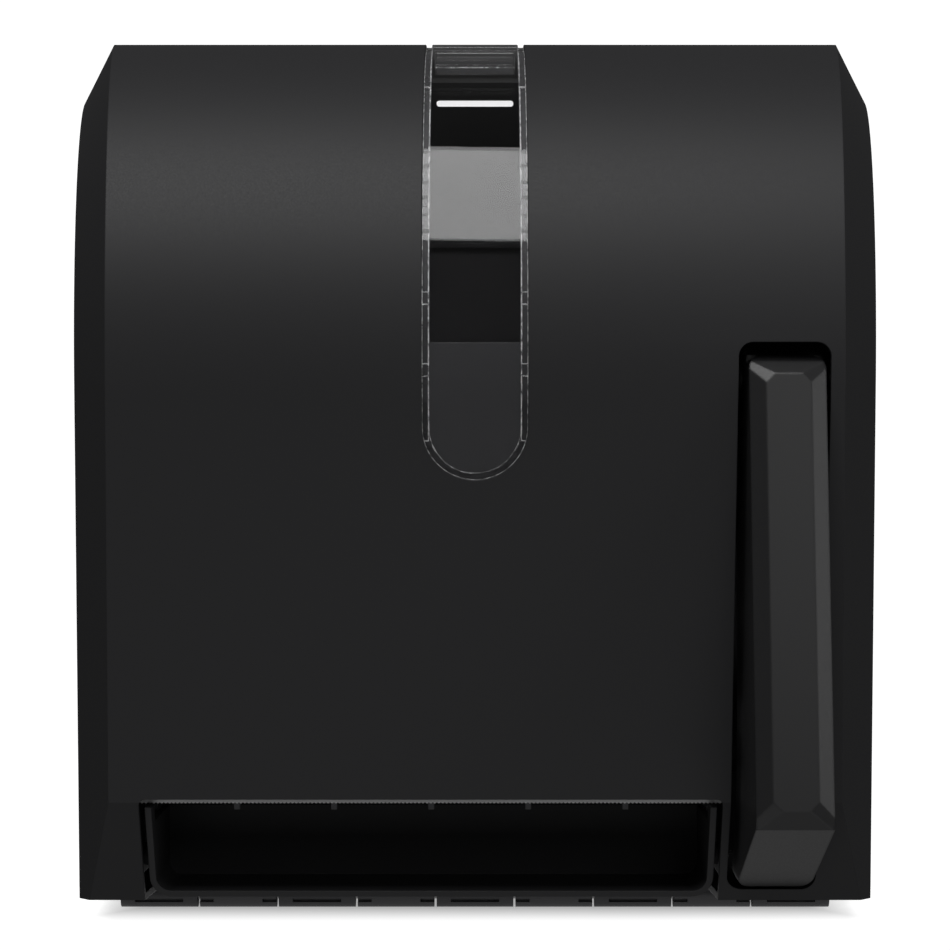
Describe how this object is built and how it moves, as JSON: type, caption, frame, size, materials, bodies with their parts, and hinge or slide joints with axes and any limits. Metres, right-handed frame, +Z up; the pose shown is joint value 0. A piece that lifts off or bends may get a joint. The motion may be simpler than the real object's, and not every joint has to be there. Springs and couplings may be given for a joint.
{
  "type": "push-paddle roll towel dispenser",
  "caption": "Wall-mounted roll towel dispenser with a hinged dark cover, a tall sight window, a push paddle that turns the feed roller and a wide tear mouth.",
  "frame": {"origin": "centre of the four wall screws, on the wall plane", "axes": "+X to the right seen from the front, +Y into the wall, +Z up"},
  "size_m": [0.33, 0.2293, 0.3629],
  "materials": {
    "cover_plastic": "fine satin grain",
    "frame_plastic": "moulded",
    "bearing_plastic": "moulded",
    "window_plastic": "smoked, clear",
    "roller_rubber": "matt",
    "steel": "zinc plated"
  },
  "bodies": {
    "chassis": {"back_plate": "frame_plastic", "left_frame": "frame_plastic", "inner_frame": "frame_plastic", "outer_frame": "frame_plastic", "frame_screws": "steel", "chute": "cover_plastic", "chute_screws": "steel", "tear_bar_holder": "frame_plastic", "tear_bar": "steel", "tear_bar_screws": "steel", "paper_guide": "frame_plastic", "roller_bushes": "bearing_plastic", "left_roll_arm": "frame_plastic", "left_hub_axle": "steel", "arm_screws": "steel", "arm_pivot_pin": "steel", "arm_spring": "steel", "paddle_pin": "steel", "paddle_pin_clips": "steel", "paddle_spring": "steel", "pinch_blocks": "bearing_plastic", "pinch_springs": "steel", "hinge_pin": "steel"},
    "cover": {"front_cover": "cover_plastic", "window_lens": "window_plastic", "lock_body": "steel", "lock_nut": "steel"},
    "lock": {"lock_plug": "steel", "lock_cam": "steel"},
    "push_paddle": {"paddle": "cover_plastic", "sector_gear": "bearing_plastic", "sector_bolt": "steel"},
    "feed_roller": {"feed_shaft": "steel", "feed_core": "bearing_plastic", "feed_tyres": "roller_rubber", "drive_pinion": "steel", "clutch_hub": "bearing_plastic", "shaft_clips": "steel"},
    "pinch_roller": {"pinch_shaft": "steel", "pinch_wheels": "bearing_plastic"},
    "right_arm": {"right_roll_arm": "frame_plastic", "right_hub_axle": "steel"},
    "left_hub": {"left_roll_hub": "bearing_plastic"},
    "right_hub": {"right_roll_hub": "bearing_plastic"}
  },
  "joints": [
    {"name": "cover_hinge", "type": "hinge", "parent": "chassis", "child": "cover", "pos_m": [0, -0.012, -0.1813], "axis": [1, 0, 0], "range_deg": [0, 95]},
    {"name": "lock_turn", "type": "hinge", "parent": "cover", "child": "lock", "pos_m": [0.06, -0.024, 0.17], "axis": [0, 0, 1], "range_deg": [-90, 0]},
    {"name": "paddle_push", "type": "hinge", "parent": "chassis", "child": "push_paddle", "pos_m": [0.114, -0.17031, 0.038], "axis": [1, 0, 0], "range_deg": [0, 15], "stiffness_Nm_per_rad": 0.6, "springref_deg": -20.05, "deforming": ["paddle_spring"]},
    {"name": "feed_turn", "type": "hinge", "parent": "chassis", "child": "feed_roller", "pos_m": [0, -0.093, -0.112], "axis": [1, 0, 0], "range_deg": [-275, 1]},
    {"name": "pinch_turn", "type": "hinge", "parent": "chassis", "child": "pinch_roller", "pos_m": [0, -0.093, -0.1383], "axis": [1, 0, 0], "range_deg": [-1, 619]},
    {"name": "arm_swing", "type": "hinge", "parent": "chassis", "child": "right_arm", "pos_m": [0.0895, -0.012, 0.057], "axis": [0, 0, 1], "range_deg": [0, 15], "stiffness_Nm_per_rad": 0.5, "springref_deg": -17.19, "deforming": ["arm_spring"]},
    {"name": "left_hub_spin", "type": "hinge", "parent": "chassis", "child": "left_hub", "pos_m": [-0.113, -0.1, 0.062], "axis": [1, 0, 0], "continuous": true},
    {"name": "right_hub_spin", "type": "hinge", "parent": "right_arm", "child": "right_hub", "pos_m": [0.08, -0.1, 0.062], "axis": [1, 0, 0], "continuous": true}
  ],
  "couplings": [
    {"joint": "feed_turn", "follows": "paddle_push", "ratio": -18.286},
    {"joint": "pinch_turn", "follows": "paddle_push", "ratio": 41.143}
  ]
}
